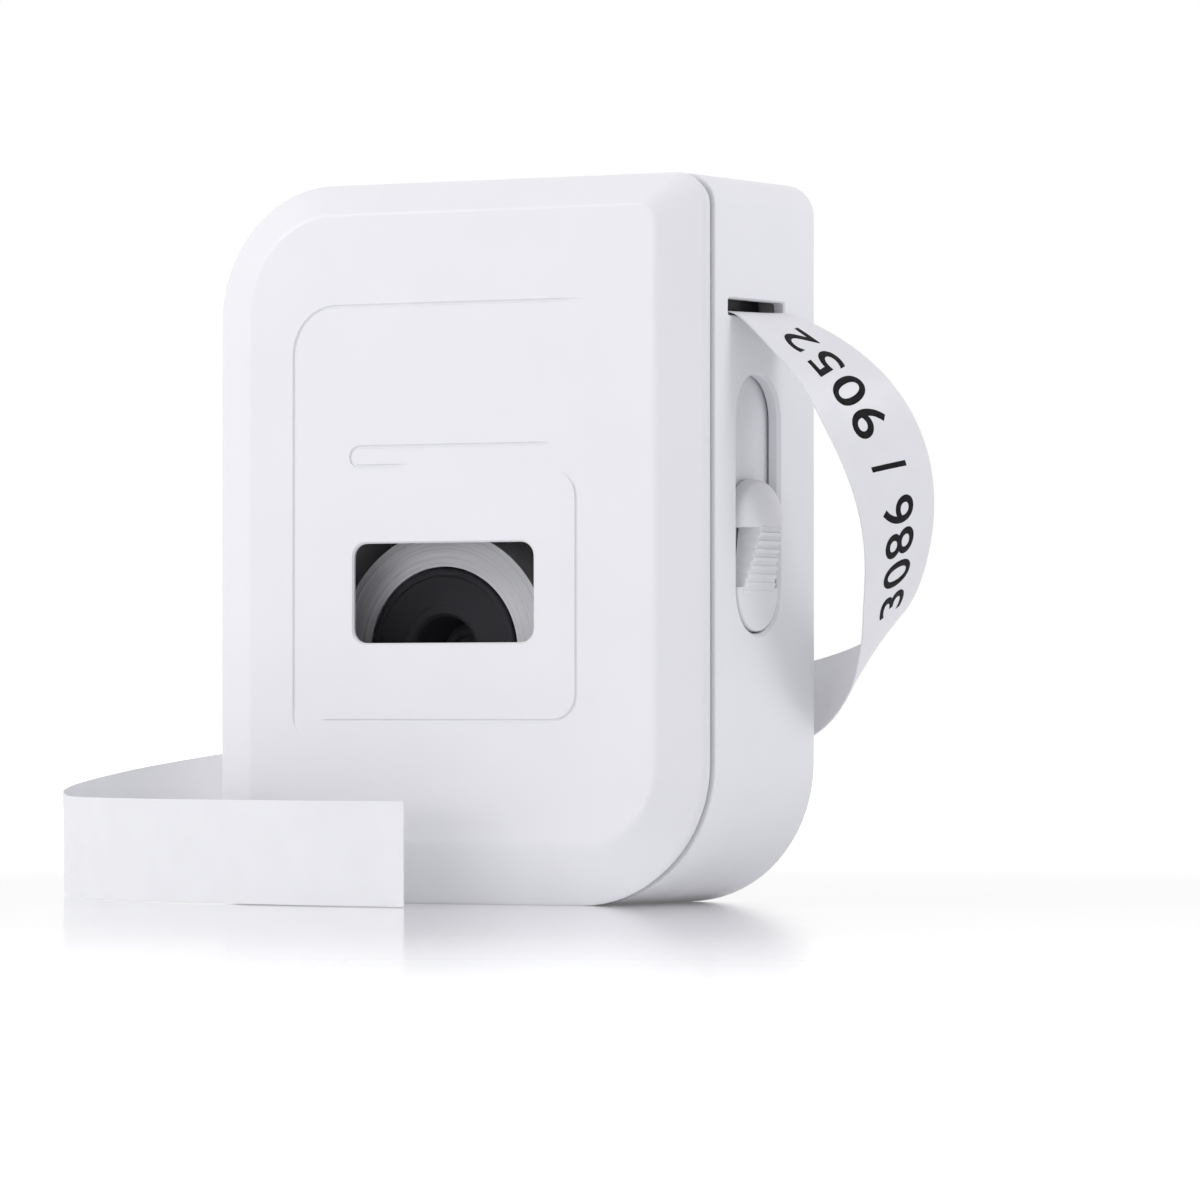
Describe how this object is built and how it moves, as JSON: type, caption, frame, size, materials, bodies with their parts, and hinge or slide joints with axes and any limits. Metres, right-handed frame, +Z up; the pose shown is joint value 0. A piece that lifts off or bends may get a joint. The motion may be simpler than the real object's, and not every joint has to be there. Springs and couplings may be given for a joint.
{
  "type": "label maker",
  "caption": "Upright desktop label maker: hinged front cover with a window, tape roll, print and feed mechanism, sliding side cutter and a curled printed strip.",
  "frame": {"origin": "middle of the base, on the surface it stands on", "axes": "+Z up, +X towards the side the tape comes out of, +Y to the back, front cover facing -Y"},
  "size_m": [0.1487, 0.0744, 0.105],
  "materials": {
    "shell_plastic": "satin moulded",
    "inner_plastic": "fine moulded texture",
    "clear_plastic": "clear polished",
    "core_plastic": "matt moulded",
    "grey_plastic": "matt moulded",
    "label_paper": "smooth coated thermal paper",
    "rubber": "ground",
    "steel": "bright rolled",
    "aluminium": "extruded",
    "brass": "turned",
    "gear_plastic": "natural acetal",
    "circuit_board": "solder mask",
    "battery_wrap": "shrink film",
    "ceramic": "glazed",
    "lead_insulation": "extruded"
  },
  "bodies": {
    "root": {"rear_housing": "shell_plastic", "slider_track": "shell_plastic", "chassis_plate": "inner_plastic", "light_pipe": "clear_plastic", "tape_web": "label_paper", "label_strip": "label_paper", "roll_spindle": "core_plastic", "control_chip": "core_plastic", "power_switch": "core_plastic", "head_bracket": "steel", "stepper_motor": "steel", "idler_pin": "steel", "hinge_pin_1": "steel", "hinge_pin_2": "steel", "chassis_screw_1": "steel", "chassis_screw_2": "steel", "chassis_screw_3": "steel", "chassis_screw_4": "steel", "head_spring": "steel", "cutter_return_spring": "steel", "fixed_blade": "steel", "wireless_module": "steel", "usb_socket": "steel", "platen_bush": "brass", "heat_sink": "aluminium", "print_head": "ceramic", "battery_plug": "gear_plastic", "main_board": "circuit_board", "battery_cell": "battery_wrap", "battery_lead": "lead_insulation"},
    "cover": {"front_cover": "shell_plastic", "window_lens": "clear_plastic"},
    "roll": {"tape_core": "core_plastic", "tape_winding": "label_paper"},
    "guide": {"guide_roller": "grey_plastic"},
    "platen": {"platen_roller": "rubber", "platen_shaft": "steel", "platen_gear": "gear_plastic"},
    "idler": {"idler_gear": "gear_plastic"},
    "rotor": {"motor_pinion": "brass", "motor_shaft": "steel"},
    "cutter": {"cutter_slider": "shell_plastic", "blade_carriage": "grey_plastic", "cutter_blade": "steel", "blade_screw_1": "steel", "blade_screw_2": "steel"},
    "button": {"power_button": "grey_plastic"}
  },
  "joints": [
    {"name": "cover_hinge", "type": "hinge", "parent": "root", "child": "cover", "pos_m": [-0.041, -0.0129, 0.0525], "axis": [0, 0, -1], "range_deg": [0, 110], "deforming": ["label_strip"]},
    {"name": "cutter_slide", "type": "slide", "parent": "root", "child": "cutter", "axis": [0, 0, 1], "range_m": [0, 0.0143], "stiffness_N_per_m": 80, "springref_m": -0.003, "deforming": ["cutter_return_spring"]},
    {"name": "power_press", "type": "slide", "parent": "root", "child": "button", "axis": [1, 0, 0], "range_m": [0, 0.0006], "stiffness_N_per_m": 400, "springref_m": -0.0003},
    {"name": "platen_spin", "type": "hinge", "parent": "root", "child": "platen", "pos_m": [0.027, 0, 0.0808], "axis": [0, 1, 0], "continuous": true},
    {"name": "roll_spin", "type": "hinge", "parent": "root", "child": "roll", "pos_m": [-0.0074, 0, 0.0366], "axis": [0, 1, 0], "continuous": true},
    {"name": "guide_spin", "type": "hinge", "parent": "root", "child": "guide", "pos_m": [-0.0223, 0, 0.0818], "axis": [0, 1, 0], "continuous": true},
    {"name": "idler_spin", "type": "hinge", "parent": "root", "child": "idler", "pos_m": [0.02225, 0, 0.07315], "axis": [0, 1, 0], "continuous": true},
    {"name": "motor_spin", "type": "hinge", "parent": "root", "child": "rotor", "pos_m": [0.024, 0, 0.0628], "axis": [0, 1, 0], "continuous": true}
  ],
  "couplings": [
    {"joint": "roll_spin", "follows": "platen_spin", "ratio": 0.22346},
    {"joint": "guide_spin", "follows": "platen_spin", "ratio": 1.3333},
    {"joint": "idler_spin", "follows": "platen_spin", "ratio": -2},
    {"joint": "motor_spin", "follows": "platen_spin", "ratio": 5}
  ]
}
